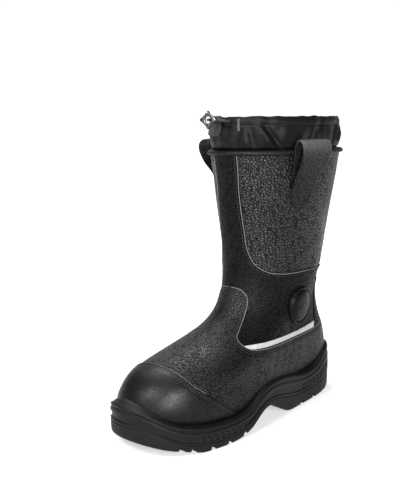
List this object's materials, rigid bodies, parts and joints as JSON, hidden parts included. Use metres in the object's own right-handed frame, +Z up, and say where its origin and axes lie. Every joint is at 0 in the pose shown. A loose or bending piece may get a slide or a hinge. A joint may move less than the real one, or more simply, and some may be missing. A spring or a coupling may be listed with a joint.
{
  "type": "pull-on work boot",
  "caption": "Black leather pull-on work boot, left foot, with fabric drawstring cuff, side pull loops, ankle guards, a grey side strip and a cleated rubber sole.",
  "frame": {"origin": "on the floor, under the middle of the boot's length and width", "axes": "+Z up from the floor, -Y towards the toe, +X towards the wearer's left, the outer side"},
  "size_m": [0.163, 0.3122, 0.3246],
  "materials": {
    "sole_rubber": "matte",
    "midsole_rubber": "matte",
    "footbed": "matte",
    "grained_leather": "satin",
    "smooth_leather": "satin",
    "vamp_leather": "satin",
    "cap_leather": "satin",
    "counter_leather": "satin",
    "binding_leather": "matte",
    "cuff_fabric": "matte",
    "loop_webbing": "satin",
    "guard_rubber": "satin",
    "reflective_tape": "satin",
    "patch_fabric": "satin",
    "cord_textile": "matte",
    "lock_metal": "polished"
  },
  "bodies": {
    "root": {"outsole": "sole_rubber", "midsole": "midsole_rubber", "insole": "footbed", "upper": "grained_leather", "leg_panel": "smooth_leather", "vamp": "vamp_leather", "toe_cap": "cap_leather", "heel_counter": "counter_leather", "collar_binding": "binding_leather", "snow_cuff": "cuff_fabric", "pull_loop_outer": "loop_webbing", "pull_loop_inner": "loop_webbing", "ankle_guard_outer": "guard_rubber", "ankle_guard_inner": "guard_rubber", "reflective_strip": "reflective_tape", "cord_patch": "patch_fabric", "drawcord": "cord_textile", "cord_lock": "lock_metal"}
  },
  "joints": []
}
